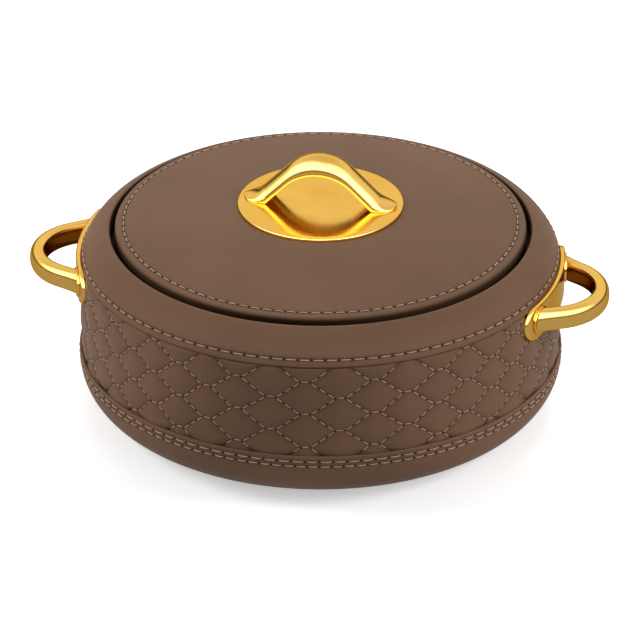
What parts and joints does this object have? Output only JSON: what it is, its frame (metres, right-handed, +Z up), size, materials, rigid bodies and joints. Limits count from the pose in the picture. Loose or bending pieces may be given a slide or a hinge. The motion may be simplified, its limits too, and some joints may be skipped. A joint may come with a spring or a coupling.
{
  "type": "insulated casserole",
  "caption": "Round insulated chapati casserole: steel bowl, foam-filled body clad in quilted leather, polished side handles and a lift-off domed lid with an arched pull.",
  "frame": {"origin": "centre of the resting plane under the feet", "axes": "+Z up; +X towards the right-hand handle, the lid's pull runs along X"},
  "size_m": [0.3144, 0.262, 0.1422],
  "materials": {
    "leather": "fine-grained, semi-matte taupe brown",
    "quilted_leather": "fine-grained, semi-matte, quilted",
    "thread": "light tan thread",
    "wadding": "soft polyester wadding",
    "foam": null,
    "moulding": "matte moulding",
    "base_plastic": "fine matte",
    "bowl_steel": "fine brushed",
    "gold_fittings": "mirror polished, gold-toned",
    "screw_steel": "zinc plated",
    "foot_rubber": "matte",
    "gasket_silicone": "satin silicone"
  },
  "bodies": {
    "casserole": {"inner_bowl": "bowl_steel", "body_insulation": "foam", "outer_tub": "moulding", "shoulder_collar": "moulding", "shoulder_leather": "leather", "shoulder_stitching": "thread", "wall_wadding": "wadding", "quilted_wall": "quilted_leather", "bottom_band": "leather", "band_stitching": "thread", "base_cover": "base_plastic", "base_screws": "screw_steel", "right_handle_strap": "gold_fittings", "left_handle_strap": "gold_fittings", "right_handle_loop": "gold_fittings", "left_handle_loop": "gold_fittings", "right_handle_bracket": "moulding", "left_handle_bracket": "moulding", "handle_screws": "screw_steel", "handle_washers": "screw_steel", "foot_1": "foot_rubber", "foot_2": "foot_rubber", "foot_3": "foot_rubber", "foot_4": "foot_rubber"},
    "lid": {"lid_leather": "leather", "lid_stitching": "thread", "lid_wadding": "wadding", "lid_shell": "moulding", "lid_insulation": "foam", "lid_liner": "bowl_steel", "lid_gasket": "gasket_silicone", "pull_plate": "gold_fittings", "pull_arch": "gold_fittings", "pull_screws": "screw_steel", "pull_washers": "screw_steel"}
  },
  "joints": [
    {"name": "lid_lift", "type": "slide", "parent": "casserole", "child": "lid", "axis": [0, 0, 1], "range_m": [0, 0.12]}
  ]
}
